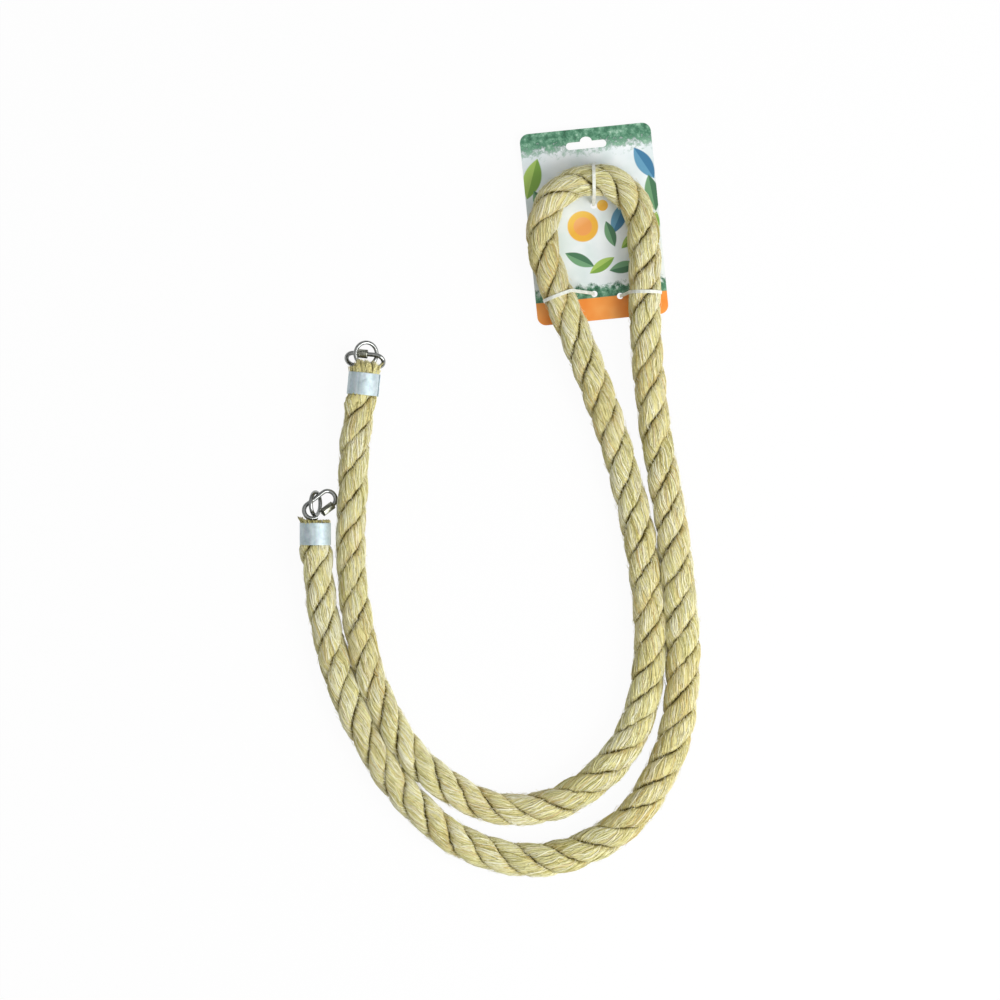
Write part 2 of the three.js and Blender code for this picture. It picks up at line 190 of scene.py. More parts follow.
def at_rope(s, angle, radius):
    """Points at a distance along the rope, an angle round its axis and a distance off it."""
    s, angle, radius = np.broadcast_arrays(s, angle, radius)
    rows = []
    for values in (axis_points, aside, upward):
        rows.append(np.stack([np.interp(s, axis_run, values[:, k]) for k in range(3)], axis=-1))
    out = np.cos(angle)[..., None] * rows[1] + np.sin(angle)[..., None] * rows[2]
    press = np.interp(s, PRESS_AT, PRESS) * np.clip(-np.cos(angle), 0, 1) ** 2
    spots = rows[0] + (radius * (1 + press))[..., None] * out
    spots[..., 2] = 0.5 * (spots[..., 2] + np.sqrt(spots[..., 2] ** 2 + TABLE_ROUND**2))
    return spots


def tubes(spots):
    """Faces of closed tubes from their points: tube, ring and corner."""
    count, rings, sides = spots.shape[:3]
    index = np.arange(count * rings * sides).reshape(count, rings, sides)
    after = np.roll(index, -1, axis=2)
    quads = np.stack([index[:, :-1], after[:, :-1], after[:, 1:], index[:, 1:]], axis=-1)
    faces = quads.reshape(-1, 4).tolist()
    return faces + index[:, 0, ::-1].tolist() + index[:, -1].tolist()


def fibre_mesh(name, parts):
    """One mesh of several sets of tubes, with a map along the fibres and a tone on each point."""
    faces = []
    verts = []
    count = 0
    for spots, _ in parts:
        faces += [[i + count for i in face] for face in tubes(spots)]
        verts.append(spots.reshape(-1, 3))
        count += len(verts[-1])
    mesh = bpy.data.meshes.new(name)
    mesh.from_pydata(np.concatenate(verts).tolist(), [], faces)
    mesh.shade_smooth()
    gather = {
        key: np.concatenate([values[key].reshape(-1) for _, values in parts]) for key in parts[0][1]
    }
    for key in ("tone", "gold", "painted_shade"):
        layer = mesh.attributes.new(key, "FLOAT", "POINT")
        layer.data.foreach_set("value", gather[key].astype(np.float32))
    corner = np.empty(len(mesh.loops), dtype=np.int32)
    mesh.loops.foreach_get("vertex_index", corner)
    spread = np.stack([gather["across"], gather["along"]], axis=-1)
    mesh.uv_layers.new(name="yarn").data.foreach_set("uv", spread[corner].ravel())
    piece = bpy.data.objects.new(name, mesh)
    bpy.context.collection.objects.link(piece)
    return piece


def srgb(red, green, blue):
    """A colour as the eye reads it, 0 to 255, for a shader socket."""
    parts = [c / 255 for c in (red, green, blue)]
    return (*[c / 12.92 if c < 0.04045 else ((c + 0.055) / 1.055) ** 2.4 for c in parts], 1)


BLACK = (0, 0, 0, 1)
WHITE = (1, 1, 1, 1)


def new_material(name):
    """A node material with only its shader, and short calls that add and join nodes."""
    material = bpy.data.materials.new(name)
    material.use_nodes = True
    tree = material.node_tree
    shader = tree.nodes["Principled BSDF"]

    def add(kind, **settings):
        node = tree.nodes.new(kind)
        for key, value in settings.items():
            if hasattr(node, key):
                setattr(node, key, value)
            else:
                node.inputs[key.replace("_", " ")].default_value = value
        return node

    return material, shader, add, tree.links.new


def ramp(add, link, factor, *stops):
    """A colour ramp over a factor, from stops of (place, colour)."""
    node = add("ShaderNodeValToRGB")
    bar = node.color_ramp.elements
    while len(bar) < len(stops):
        bar.new(0.5)
    for element, (place, colour) in zip(bar, stops):
        element.position = place
        element.color = colour
    link(factor, node.inputs["Fac"])
    return node.outputs["Color"]


def plug(link, value, socket):
    """Give a socket a plain value, or join it to the socket that is given."""
    if isinstance(value, bpy.types.NodeSocket):
        link(value, socket)
    else:
        socket.default_value = value


def mix(add, link, factor, first, second, blend="MIX"):
    """Two colours mixed by a factor, each a socket or a value."""
    node = add("ShaderNodeMix", data_type="RGBA", blend_type=blend)
    for place, value in ((0, factor), (6, first), (7, second)):
        plug(link, value, node.inputs[place])
    return node.outputs[2]


STREAK_WIDE = 0.00042
STREAK_LONG = 0.008
GOLDEN = srgb(204, 176, 104)
# Olive brown of the painted shade in the seams of the lay.
PAINTED_SEAM_SHADE = srgb(110, 97, 28)


def fibre_material(name, *straw_stops):
    """Dry fibre: each bundle has its own tone, some are golden, fine streaks run along them, and
    painted shade browns them in streaks where they sink into the seams of the lay."""
    material, shader, add, link = new_material(name)
    shader.inputs["Roughness"].default_value = 0.72
    shader.inputs["Specular IOR Level"].default_value = 0.25
    shader.inputs["Sheen Weight"].default_value = 0.12
    shader.inputs["Sheen Roughness"].default_value = 0.5
    uv = add("ShaderNodeUVMap", uv_map="yarn")
    stretch = add("ShaderNodeMapping")
    stretch.inputs["Scale"].default_value = (1 / STREAK_WIDE, 1 / STREAK_LONG, 1)
    link(uv.outputs["UV"], stretch.inputs["Vector"])
    hair = add("ShaderNodeTexNoise", noise_dimensions="2D", Scale=1.0, Detail=3.0, Roughness=0.65)
    link(stretch.outputs["Vector"], hair.inputs["Vector"])
    tone = add("ShaderNodeAttribute", attribute_name="tone")
    streak = add("ShaderNodeMath", operation="MULTIPLY_ADD")
    link(hair.outputs["Fac"], streak.inputs[0])
    streak.inputs[1].default_value = 0.9
    link(tone.outputs["Fac"], streak.inputs[2])
    straw = ramp(add, link, streak.outputs[0], *straw_stops)
    gold = add("ShaderNodeAttribute", attribute_name="gold")
    warm = mix(add, link, gold.outputs["Fac"], straw, GOLDEN)
    # Painted shade: each point's seam shade, broken into streaks by the fibre noise, browns the
    # colour.
    painted_shade = add("ShaderNodeAttribute", attribute_name="painted_shade")
    streaked_shade = add("ShaderNodeMath", operation="MULTIPLY_ADD")
    link(hair.outputs["Fac"], streaked_shade.inputs[0])
    streaked_shade.inputs[1].default_value = 0.5
    link(painted_shade.outputs["Fac"], streaked_shade.inputs[2])
    seam = ramp(add, link, streaked_shade.outputs[0], (0.34, BLACK), (1.0, WHITE))
    link(mix(add, link, seam, warm, PAINTED_SEAM_SHADE), shader.inputs["Base Color"])
    bump = add("ShaderNodeBump", Strength=0.5, Distance=0.0004)
    link(hair.outputs["Fac"], bump.inputs["Height"])
    link(bump.outputs["Normal"], shader.inputs["Normal"])
    return material


sisal = fibre_material(
    "sisal",
    (0.35, srgb(168, 159, 84)),
    (0.6, srgb(214, 209, 145)),
    (0.86, srgb(233, 230, 175)),
    (1.0, srgb(242, 240, 211)),
)
# A lighter, yellower copy of the sisal for the frayed end at A: painted light that makes up for
# the shade its loose tufts cast on each other.
lit_sisal = fibre_material(
    "sisal_painted_lighter",
    (0.35, srgb(186, 170, 84)),
    (0.6, srgb(234, 220, 138)),
    (0.86, srgb(250, 241, 170)),
    (1.0, srgb(254, 248, 186)),
)


# Loose fibre: hairs of sisal that have worked out of the rope and stand off it, and the cut ends
# of the rope, which spread in tufts past the ferrules that hold them.
FIBRE_SIDES = 3
FIBRE_REFERENCE = (0.31, 0.52, 0.79)
HAIRS = 4200
HAIR_POINTS = 5
HAIR_CLEAR = 0.04
HAIR_UNDER = 0.5
HAIR_WAY = (-4, 24)
HAIR_CURL = 0.12
HAIR_LENGTH = (0.004, 0.010)
HAIR_HALF = 0.00014
HAIR_ROOT = 0.0005
HAIR_RISE = 0.0006
HAIR_SPRING = 0.0018


def fibre_tubes(line, half):
    """Three-sided tubes along lines of points: fibre, point, axis."""
    ahead = np.gradient(line, axis=1)
    ahead /= np.linalg.norm(ahead, axis=2)[..., None]
    first = np.cross(ahead, FIBRE_REFERENCE)
    first /= np.linalg.norm(first, axis=2)[..., None]
    second = np.cross(ahead, first)
    corner = np.linspace(0, 2 * math.pi, FIBRE_SIDES, endpoint=False)[:, None]
    ring = np.cos(corner) * first[:, :, None] + np.sin(corner) * second[:, :, None]
    return line[:, :, None] + half[:, :, None, None] * ring


def loose_fibres(name, line, half, tone, gold, painted_shade, material):
    """One piece of loose fibres, each with its own tone, share of gold and painted shade."""
    spots = fibre_tubes(line, half)
    shape = spots.shape[:3]
    along = np.linspace(0, STREAK_LONG, shape[1])[None, :, None]
    piece = fibre_mesh(name, [(spots, {
        "tone": np.broadcast_to(tone[:, None, None], shape),
        "gold": np.broadcast_to(gold[:, None, None], shape),
        "painted_shade": np.broadcast_to(painted_shade[:, None, None], shape),
        "across": np.broadcast_to(tone[:, None, None], shape),
        "along": np.broadcast_to(along, shape),
    })])
    piece.data.materials.append(material)
    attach(piece, "rope_on_card")
    return piece


def stray_fibres(count, seed):
    """Short hairs that have come loose on the rope and stand off it at one end."""
    pick = np.random.default_rng(seed)
    t = np.linspace(0, 1, HAIR_POINTS)[None]
    at = pick.uniform(HAIR_CLEAR, ROPE_LENGTH - HAIR_CLEAR, count)[:, None]
    angle = pick.uniform(-HAIR_UNDER, math.pi + HAIR_UNDER, count)[:, None]
    way = np.radians(pick.normal(*HAIR_WAY, count))[:, None]
    long = pick.uniform(*HAIR_LENGTH, count)[:, None] * np.sign(pick.normal(0, 1, count))[:, None]
    curl = pick.normal(0, HAIR_CURL, count)[:, None]
    s = at + long * np.cos(way) * t
    turn = angle + (long * np.sin(way) * t + long * curl * t * t) / ROPE_RADIUS
    rise = HAIR_RISE + HAIR_SPRING * pick.random(count)[:, None] ** 2
    line = at_rope(s, turn, rope_radius(s) + (rise * t**1.3 - HAIR_ROOT))
    half = HAIR_HALF * pick.uniform(0.7, 1.4, count)[:, None] * (1.1 - 0.6 * t)
    tone = 0.35 + 0.5 * pick.random(count)
    gold = 0.6 * pick.random(count) ** 3
    return loose_fibres("rope_stray_fibres", line, half, tone, gold, np.zeros(count), sisal)


TUFT_FIBRES = 14
TUFT_SPREAD = 0.0004
TUFT_BEND = 0.16
FIBRE_BEND = 0.07
SKIN_SHARE = 0.5
FRAY_POINTS = 6
FRAY_RADIUS = 0.0105
FRAY_SKIN = (0.0096, 0.0108)
FRAY_EDGE = 0.0107
FRAY_ROOT = 0.004
FRAY_HALF = 0.00024
FRAY_LOWEST = 0.0006


def frayed_end(tag, at, head, reach, tufts, flare, tone, gold, material, seed):
    """The cut end of the rope past its ferrule, in tufts: reach is their length past the edge,
    and half of them stand in the skin of its upper side."""
    pick = np.random.default_rng(seed)
    count = tufts * TUFT_FIBRES
    r = FRAY_RADIUS * np.sqrt(pick.uniform(0.03, 1, tufts))
    a = pick.uniform(0, 2 * math.pi, tufts)
    skin = pick.random(tufts) < SKIN_SHARE
    r = np.where(skin, pick.uniform(*FRAY_SKIN, tufts), r)
    a = np.where(skin, pick.uniform(-0.2, math.pi + 0.2, tufts), a)
    long = reach(r * np.cos(a), r * np.sin(a)) * pick.uniform(0.7, 1.12, tufts)
    bend = pick.normal(0, TUFT_BEND, (2, tufts))
    shade = tone[0] + (tone[1] - tone[0]) * pick.random(tufts)
    warm = gold[0] + (gold[1] - gold[0]) * pick.random(tufts)
    # A few tufts get painted shade, standing in for the dark gaps among them.
    dark = 0.7 * pick.random(tufts) ** 5
    parts = (r, a, long, shade, warm, dark)
    r, a, long, shade, warm, dark = (np.repeat(part, TUFT_FIBRES) for part in parts)
    bend = np.repeat(bend, TUFT_FIBRES, axis=1)[..., None]
    y = r * np.cos(a) + pick.normal(0, TUFT_SPREAD, count)
    z = r * np.sin(a) + pick.normal(0, TUFT_SPREAD, count)
    long = long * pick.uniform(0.75, 1.05, count)
    t = np.linspace(0, 1, FRAY_POINTS)[None]
    x = -FRAY_ROOT + (FRAY_ROOT + long[:, None]) * t
    spread = 1 + (np.where(y > 0, flare[0], flare[1]) * r / FRAY_EDGE)[:, None] * t**2
    drift = (bend + pick.normal(0, FIBRE_BEND, (2, count, 1))) * long[:, None] * t**2
    local = np.stack([x, y[:, None] * spread + drift[0], z[:, None] * spread + drift[1]], axis=-1)
    ahead = np.array([math.cos(head), math.sin(head), 0])
    left = np.array([-math.sin(head), math.cos(head), 0])
    line = at + local[..., :1] * ahead + local[..., 1:2] * left + local[..., 2:] * [0, 0, 1]
    line[..., 2] = np.maximum(line[..., 2], FRAY_LOWEST)
    half = FRAY_HALF * pick.uniform(0.6, 1.6, count)[:, None] * (1 - 0.5 * t)
    shade = shade + pick.normal(0, 0.08, count)
    return loose_fibres(f"rope_end_{tag}_fray", line, half, shade, warm, dark, material)


DOME_SIDE = 0.0046
DOME_RISE = 0.0048
DOME_HALF = 0.0098
DOME_SLOPE = 0.004
DOME_ASIDE = 0.0018
DOME_FOOT = 0.0005
DOME_UNDER = 0.0036


def dome_reach(y, z):
    """Long over the low bar of the link and the ring's foot, short below them."""
    dome = DOME_SIDE + DOME_RISE * soft_step((DOME_HALF - np.abs(y + DOME_ASIDE)) / DOME_SLOPE)
    return np.where(z > DOME_FOOT, dome, DOME_UNDER)


SPROUT = 0.0022
SPROUT_LEFT = 0.003
SPROUT_RIGHT = 0.0006


def sprout_reach(y, z):
    """Short at any height, with longer wisps at the two sides."""
    left = np.clip(y / FRAY_EDGE, 0, 1) ** 2
    right = np.clip(-y / FRAY_EDGE, 0, 1) ** 2
    return SPROUT + SPROUT_LEFT * left + SPROUT_RIGHT * right


stray = stray_fibres(HAIRS, seed=31)
# End A's tufts sit high on the lighter copy's ramp, painted light against their own shade.
fray_a = frayed_end(
    "a", END_A, HEAD_A, dome_reach, tufts=110, flare=(0.05, 0.14), tone=(0.8, 1.6),
    gold=(0.0, 0.2), material=lit_sisal, seed=41,
)
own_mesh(fray_a)
fray_b = frayed_end(
    "b", END_B, HEAD_B, sprout_reach, tufts=60, flare=(0.28, 0.03), tone=(-0.1, 0.5),
    gold=(0.0, 0.35), material=sisal, seed=43,
)


# Strands: bundles of combed sisal fibre, twisted so that they run nearly along the rope on the
# outside of each strand. They dip into seams that wander and close in places, painted darker with
# depth as their shade, and the strands swell where they come out of the ferrules.
HALF = math.pi / STRANDS
TURN = 2 * math.pi / ROPE_LAY
WANDER = 0.24
WANDER_SLOW = 0.013
WANDER_QUICK = 0.003
QUICK_SHARE = 0.9
CREASE = 0.12
CREASE_LEAST = 0.1
CREASE_SLOW = 0.009
CREASE_SLOW_SHARE = 1.5
CREASE_QUICK = 0.0025
CREASE_QUICK_SHARE = 0.6
SEAM_POWER = 10
ROUNDING = 0.145
ROUNDING_POWER = 2.4
SKIN = 0.00005
PLUMP = 0.0013
PLUMP_RUN = 0.019
SHOULDER_A = 0.0036
SHOULDER_B = 0.0016
SHOULDER_RISE = 0.003
SHOULDER_RUN = 0.016
SHOULDER_FALL = 0.010
SHADE_DEPTH = 0.0018
GOLD_SEAM_SHADE_RUN = 0.021
SEED = {"slow": 60, "quick": 70, "plump": 80, "slow_crease": 90, "quick_crease": 95, "gold_seam_shade": 110}
GRAIN_KNOTS = 1024


def grain(u, seed):
    """Smooth random numbers from 0 to 1, one knot at each whole u."""
    table = np.random.default_rng(seed).random(GRAIN_KNOTS)
    i = np.floor(u).astype(int)
    x = soft_step(u - i)
    return table[i % GRAIN_KNOTS] * (1 - x) + table[(i + 1) % GRAIN_KNOTS] * x


def seam_angle(k, s):
    """Angle round the rope of the seam before strand k, which wanders a little."""
    slow = grain(s / WANDER_SLOW, SEED["slow"] + k % STRANDS)
    quick = grain(s / WANDER_QUICK, SEED["quick"] + k % STRANDS)
    wander = slow + QUICK_SHARE * quick - (1 + QUICK_SHARE) / 2
    return TURN * s + (2 * k - 1) * HALF + WANDER * wander


def seam_depth(k, s):
    """Depth of the seam before strand k, as a share of the radius: it closes in places."""
    slow = grain(s / CREASE_SLOW, SEED["slow_crease"] + k % STRANDS)
    quick = grain(s / CREASE_QUICK, SEED["quick_crease"] + k % STRANDS)
    open_by = CREASE_SLOW_SHARE * slow + CREASE_QUICK_SHARE * quick
    return CREASE * (CREASE_LEAST + open_by)


def across_strand(k, lobe, s):
    """Angle round the rope of a place on strand k, from its first seam, -1, to its last, 1."""
    first = seam_angle(k, s)
    last = seam_angle(k + 1, s)
    return (first + last) / 2 + lobe * (last - first) / 2


def seam_fall(k, lobe, s):
    """How far strand k falls off to its seams, as a share of the radius."""
    depth = np.where(lobe < 0, seam_depth(k, s), seam_depth(k + 1, s))
    return depth * np.minimum(np.abs(lobe), 1) ** SEAM_POWER


def shoulder(k, lobe, s):
    """Swell of strand k where it leaves a ferrule: on the left at end A, all round at end B."""
    past_a = s - TUFT_A - FERRULE_LENGTH
    past_b = ROPE_LENGTH - s - TUFT_B - FERRULE_LENGTH
    swell_a, swell_b = (
        soft_step(past / SHOULDER_RISE) * soft_step((SHOULDER_RUN - past) / SHOULDER_FALL)
        for past in (past_a, past_b)
    )
    left = soft_step(0.5 - 0.8 * np.cos(across_strand(k, lobe, s)))
    return SHOULDER_A * left * np.maximum(1 - lobe**2, 0) * swell_a + SHOULDER_B * swell_b


def crown(k, lobe, s):
    """Height of strand k over the rope's axis, from its middle, 0, to its seams, -1 and 1."""
    plump = PLUMP * (grain(s / PLUMP_RUN, SEED["plump"] + k) - 0.5) + shoulder(k, lobe, s)
    fall = seam_fall(k, lobe, s) + ROUNDING * np.minimum(np.abs(lobe), 1) ** ROUNDING_POWER
    return (rope_radius(s) + SKIN + plump) * (1 - fall)


CORE_INSET = 0.0012
CORE_RINGS = 640
CORE_COLUMNS = 13
CORE_WALL = np.array([[0.33, 0.67, 1.0]])
CORE_TONE = 0.2
# Painted shade at its fullest, given to the inner walls of each strand deep in the rope.
CORE_DARKEST = 0.9
STRAND_GAP = 0.00012


def strand_core(k):
    """The body of one strand: a third of the round, from its crown down to the rope's middle."""
    s = np.linspace(TUFT_A + CORE_INSET, ROPE_LENGTH - TUFT_B - CORE_INSET, CORE_RINGS)[:, None]
    lobe = np.sin(np.linspace(-1, 1, CORE_COLUMNS)[None] * math.pi / 2)
    outer = crown(k, lobe, s)
    seam = outer[:, :1]
    wall = seam + (core_radius(s) - seam) * CORE_WALL
    radius = np.concatenate([outer, wall, wall[:, ::-1]], axis=1)
    angle = np.concatenate([
        across_strand(k, 0.99 * lobe, s),
        across_strand(k, 1, s) - STRAND_GAP / wall,
        across_strand(k, -1, s) + (STRAND_GAP / wall)[:, ::-1],
    ], axis=1)
    spots = at_rope(s, angle, radius)[None]
    # Painted shade: the crown darkens with the depth of its seams, the inner walls are painted fully
    # shaded.
    painted_shade = np.clip(seam_fall(k, lobe, s) * ROPE_RADIUS / SHADE_DEPTH, 0, CORE_DARKEST)
    walls = np.full((CORE_RINGS, 2 * CORE_WALL.size), CORE_DARKEST)
    return spots, {
        "tone": np.full(radius.shape, CORE_TONE),
        "gold": np.full(radius.shape, CORE_TONE),
        "painted_shade": np.concatenate([painted_shade, walls], axis=1),
        "across": angle * ROPE_RADIUS,
        "along": np.broadcast_to(s, radius.shape),
    }


BUNDLE_CORNERS = 3
BUNDLE_RUN_IN = 0.02
BUNDLE_SLANTS = (-34, 22)
BUNDLE_ENDS = (0.9, 1.1)
BUNDLE_BUNCHING = 2.3
BUNDLE_TAPER = 0.55
BUNDLE_RISE = 0.00014
BUNDLE_SWAY = 0.0003
BUNDLE_END_SINK = 0.0006
BUNDLE_JITTER = 0.4
BUNDLE_WIDTHS = (0.7, 1.35)
BUNDLE_HEIGHTS = (0.7, 1.2)
SWAYS_PER_M = 300
PATCHES_PER_M = 60
STREAKS_PER_M = 350
GOLDS_PER_M = 25
TONE_BASE = -0.11
TONE_PATCHY = 0.3
TONE_OWN = 0.56
TONE_STREAKY = 0.24
# Some bundles darkened at random: painted shade that stands in for dark gaps between the yarns.
TONE_GAP_SHADE = -0.34
GAP_SHADE_SHARE = 0.16
GOLD_OWN = 0.8
GOLD_PATCHY = 0.5
GOLD_LEVEL = 0.55
# Golden tint towards the seams, in patches along the rope: partly the fibre's own colour, partly
# painted shade of the creases.
GOLD_SEAM_SHADE = 0.9
GOLD_SEAM_SHADE_FROM = 0.45
COARSE = {
    "pitch": 0.00076, "wide": 0.00056, "high": 0.00022, "lean": (-6, 6), "rings": 7, "reach": 1,
    "seed": 100,
}
FINE = {
    "pitch": 0.00078, "wide": 0.00024, "high": 0.00011, "lean": (-4, 10), "rings": 5, "reach": 0.4,
    "seed": 200,
}


def strand_bundles(k, pitch, wide, high, lean, rings, reach, seed):
    """Bundles of fibre on one strand, nearly along the rope's axis, over a share of its width."""
    pick = np.random.default_rng(seed + k)
    start = np.arange(-BUNDLE_RUN_IN, ROPE_LENGTH, pitch)
    count = len(start)
    start = start + pick.uniform(-BUNDLE_JITTER, BUNDLE_JITTER, count) * pitch
    slant = np.tan(np.radians(np.clip(pick.normal(*lean, count), *BUNDLE_SLANTS)))
    first = pick.uniform(*BUNDLE_ENDS, count)
    last = -pick.uniform(*BUNDLE_ENDS, count)
    share = pick.uniform(reach, 1, count)
    slip = pick.random(count) * (1 - share) * (last - first)
    first = first + slip
    last = first + share * (last - first + slip)
    t = np.linspace(-1, 1, rings)[None]
    t = 0.5 + 0.5 * np.sign(t) * (1 - (1 - np.abs(t)) ** BUNDLE_BUNCHING)
    endwise = np.abs(2 * t - 1)
    lobe = first[:, None] + (last - first)[:, None] * t
    rate = (TURN - slant / ROPE_RADIUS) / HALF
    s = np.clip(start[:, None] + (first[:, None] - lobe) / rate[:, None], 0, ROPE_LENGTH)
    angle = across_strand(k, lobe, s)
    half = wide * pick.uniform(*BUNDLE_WIDTHS, count)[:, None] * (1 - BUNDLE_TAPER * endwise**5)
    lift = BUNDLE_RISE * pick.normal(0, 1, count)[:, None]
    lift = lift + high * pick.uniform(*BUNDLE_HEIGHTS, count)[:, None]
    sway = BUNDLE_SWAY * (grain(start[:, None] * SWAYS_PER_M + 9 * t, seed + 50) - 0.5)
    corner = np.linspace(0, 2 * math.pi, BUNDLE_CORNERS, endpoint=False)[None, None]
    turn_by = (half[..., None] * np.sin(corner) + sway[..., None]) / ROPE_RADIUS
    over = high * 0.9 * np.cos(corner) + lift[..., None] - (BUNDLE_END_SINK * endwise**40)[..., None]
    body = crown(k, lobe[..., None] + turn_by / HALF, s[..., None])
    spots = at_rope(s[..., None], angle[..., None] + turn_by, body + over)
    tone = TONE_PATCHY * grain(start * PATCHES_PER_M, seed + 11)
    tone = tone + TONE_OWN * pick.random(count)
    tone = tone + TONE_STREAKY * grain(start * STREAKS_PER_M, seed + 12) + TONE_BASE
    # Painted shade: a share of bundles is darkened for the dark gaps between yarns.
    tone = tone + TONE_GAP_SHADE * (pick.random(count) < GAP_SHADE_SHARE)
    golden = GOLD_OWN * pick.random(count) ** 6
    golden = golden + GOLD_PATCHY * (grain(start * GOLDS_PER_M, seed + 13) - GOLD_LEVEL)
    # Golden tint towards the seams, partly the fibre's colour and partly painted crease shade.
    gold_seam_shade = GOLD_SEAM_SHADE * soft_step(1.8 * grain(s / GOLD_SEAM_SHADE_RUN, SEED["gold_seam_shade"] + k) - 0.8)
    gold_seam_shade = gold_seam_shade * soft_step((np.abs(lobe) - GOLD_SEAM_SHADE_FROM) / (1 - GOLD_SEAM_SHADE_FROM))
    gold = np.maximum(golden, 0)[:, None] + gold_seam_shade
    # Painted shade at the seams: each bundle darkens with its seam's depth, by a random share per
    # side.
    dim = pick.uniform(0, 1.2, (2, count, 1)) ** 1.5
    painted_seam_shade = np.where(lobe > 0, dim[0], dim[1]) * seam_fall(k, lobe, s) * ROPE_RADIUS / SHADE_DEPTH
    shape = spots.shape[:3]
    return spots, {
        "tone": np.broadcast_to(tone[:, None, None], shape),
        "gold": np.broadcast_to(np.minimum(gold, 1)[..., None], shape),
        "painted_shade": np.broadcast_to(np.clip(painted_seam_shade, 0, 1)[..., None], shape),
        "across": start[:, None, None] * 7 + half[..., None] * np.sin(corner),
        "along": np.broadcast_to(s[..., None], shape),
    }


CENTRE_STEPS = 1400
CENTRE_SHARE = 0.6
for k in range(STRANDS):
    piece = fibre_mesh(f"rope_strand_{k + 1}_fibre", [
        strand_core(k),
        strand_bundles(k, **COARSE),
        strand_bundles(k, **FINE),
    ])
    piece.data.materials.append(sisal)
    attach(piece, "rope_on_card")
    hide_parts(f"rope_strand_{k + 1}")
    run = np.linspace(0, ROPE_LENGTH, CENTRE_STEPS)
    centre = CENTRE_SHARE * rope_radius(run) + (1 - CENTRE_SHARE) * core_radius(run)
    path = at_rope(run, TURN * run + k * 2 * HALF, centre)


# Ferrules: a strip of zinc-plated sheet, 0.7 mm, rolled once round each rope end with its outer
# edge lapped over the inner one, and crimped with a tool that leaves dents and a line along it.
FERRULE_PLAY = 0.0003
FERRULE_BORE = GRIP_RADIUS + FERRULE_PLAY
FERRULE_WALL = 0.0007
FERRULE_EDGE = 0.00018
FERRULE_LAP = 26
LAP_RISE = 25
LAP_GAP = 0.0003
STRIP_COLUMNS = 110
STRIP_ROWS = 18
SMOOTH_UNDER = math.radians(35)

zinc, shader, add, link = new_material("satin_zinc")
shader.inputs["Metallic"].default_value = 0.55
spot = add("ShaderNodeTexCoord")
drawn = add("ShaderNodeMapping")
drawn.inputs["Scale"].default_value = (900, 130, 900)
link(spot.outputs["Object"], drawn.inputs["Vector"])
brush = add("ShaderNodeTexNoise", Scale=1.0, Detail=3.0, Roughness=0.6)
link(drawn.outputs["Vector"], brush.inputs["Vector"])
cloud = add("ShaderNodeTexNoise", Scale=210.0, Detail=3.0, Roughness=0.6)
link(spot.outputs["Object"], cloud.inputs["Vector"])
plate = ramp(
    add, link, cloud.outputs["Fac"],
    (0.3, srgb(180, 196, 200)),
    (0.5, srgb(198, 213, 218)),
    (0.7, srgb(212, 224, 227)),
)
worn = mix(add, link, 0.35, plate, brush.outputs["Color"], "SOFT_LIGHT")
link(worn, shader.inputs["Base Color"])
dull = add("ShaderNodeMapRange", To_Min=0.5, To_Max=0.72)
link(brush.outputs["Fac"], dull.inputs["Value"])
link(dull.outputs["Result"], shader.inputs["Roughness"])
scuff = add("ShaderNodeBump", Strength=0.25, Distance=0.0001)
link(brush.outputs["Fac"], scuff.inputs["Height"])
link(scuff.outputs["Normal"], shader.inputs["Normal"])


def pose(at, head):
    """Frame of a rope end: X out of the rope along its axis, Z up."""
    return Matrix.Translation(at.tolist()) @ Matrix.Rotation(head, 4, "Z")


END_FRAME = {"a": pose(END_A, HEAD_A), "b": pose(END_B, HEAD_B)}


def round_edges(piece, width, sharper):
    """A rounding on the edges of a piece that are sharper than an angle in degrees."""
    edge = piece.modifiers.new("edge", "BEVEL")
    edge.width = width
    edge.segments = 2
    edge.angle_limit = math.radians(sharper)


def ferrule(tag, lap_turn, dents):
    """The rolled strip: dents are (degrees, distance along, half width, half length, depth)."""
    bpy.ops.mesh.primitive_grid_add(
        x_subdivisions=STRIP_COLUMNS, y_subdivisions=STRIP_ROWS, size=1
    )
    band = bpy.context.object
    band.name = f"ferrule_{tag}_strip"
    flat = np.array([v.co[:] for v in band.data.vertices])
    degrees = (flat[:, 0] + 0.5) * (360 + FERRULE_LAP)
    down = (0.5 - flat[:, 1]) * FERRULE_LENGTH
    lift = (FERRULE_WALL + LAP_GAP) * soft_step((degrees - 360 + LAP_RISE) / LAP_RISE)
    for middle, along, wide, long, depth in dents:
        off = (degrees - middle + 180) % 360 - 180
        near = (off / wide) ** 2 + ((down - along) / long) ** 2
        lift = lift - depth * np.exp(-near)
    radius = FERRULE_BORE + lift
    round_by = np.radians(degrees)
    rolled = np.stack([-down, radius * np.sin(round_by), radius * np.cos(round_by)], axis=1)
    band.data.vertices.foreach_set("co", rolled.ravel())
    bpy.ops.object.mode_set(mode="EDIT")
    bpy.ops.mesh.select_all(action="SELECT")
    bpy.ops.mesh.normals_make_consistent(inside=False)
    bpy.ops.object.mode_set(mode="OBJECT")
    wall = band.modifiers.new("wall", "SOLIDIFY")
    wall.thickness = FERRULE_WALL
    wall.offset = 1
    bpy.ops.object.modifier_apply(modifier="wall")
    round_edges(band, FERRULE_EDGE, 50)
    bpy.ops.object.modifier_apply(modifier="edge")
    bpy.ops.object.shade_smooth_by_angle(angle=SMOOTH_UNDER)
    band.data.transform(END_FRAME[tag] @ Matrix.Rotation(math.radians(lap_turn), 4, "X"))
    band.data.materials.append(zinc)
    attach(band, "rope_on_card")
    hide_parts(f"ferrule_{tag}")


